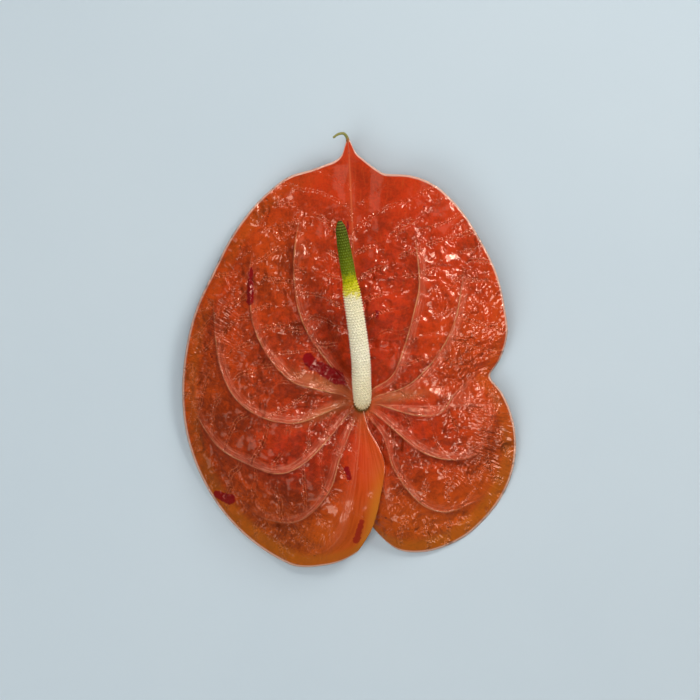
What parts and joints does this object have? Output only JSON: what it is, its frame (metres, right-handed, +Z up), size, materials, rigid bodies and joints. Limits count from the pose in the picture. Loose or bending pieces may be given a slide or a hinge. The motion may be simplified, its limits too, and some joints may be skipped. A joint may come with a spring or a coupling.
{
  "type": "cut anthurium stem",
  "caption": "Cut anthurium lying face up: a glossy, quilted, heart-shaped orange-red spathe with overlapping lobes, a leaning spadix turning green at its tip, and a short-cut stalk beneath",
  "frame": {"origin": "centre of the bounding box's base, on the surface that the cut stem lies on", "axes": "+X to the right lobe, +Y from the sinus to the spathe's tip, +Z up, the way the spathe faces"},
  "size_m": [0.13, 0.1692, 0.0396],
  "materials": {
    "spathe": "glossy, quilted orange-red leaf tissue",
    "spadix": "matte cream florets, green toward the tip",
    "peduncle": "satin green stalk"
  },
  "bodies": {
    "root": {"spathe": "spathe", "spadix": "spadix", "peduncle": "peduncle"}
  },
  "joints": []
}
